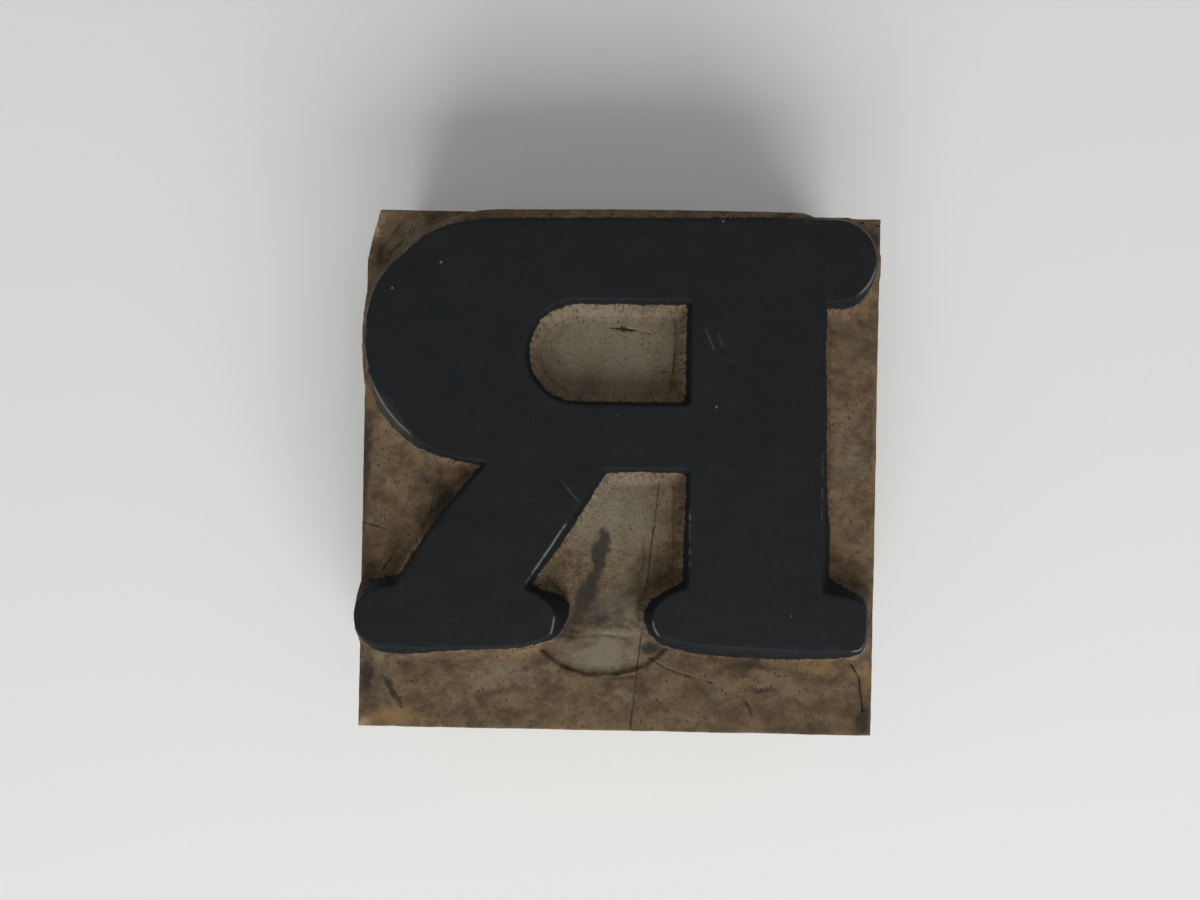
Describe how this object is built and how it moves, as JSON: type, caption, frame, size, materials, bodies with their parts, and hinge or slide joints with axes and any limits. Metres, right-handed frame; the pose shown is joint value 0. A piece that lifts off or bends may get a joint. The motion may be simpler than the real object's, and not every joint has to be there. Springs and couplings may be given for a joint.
{
  "type": "wooden printing letter",
  "caption": "Type-high block of glued end-grain maple with a mirror-image slab-serif capital letter standing in relief, for relief printing and stamping.",
  "frame": {"origin": "centre of the foot, the flat face that the block stands on", "axes": "+Z from the foot up to the printing face, +Y towards the head of the letter, +X to the right as the face is looked at"},
  "size_m": [0.0502, 0.0506, 0.0233],
  "materials": {
    "end_grain_maple": "bare, aged, with ink stains",
    "dried_glue": "dull, dark amber",
    "inked_maple": "dried blue-black printing ink"
  },
  "bodies": {
    "root": {"left_stave": "end_grain_maple", "right_stave": "end_grain_maple", "stave_glue": "dried_glue", "letter_glue": "dried_glue", "letter": "inked_maple"}
  },
  "joints": []
}
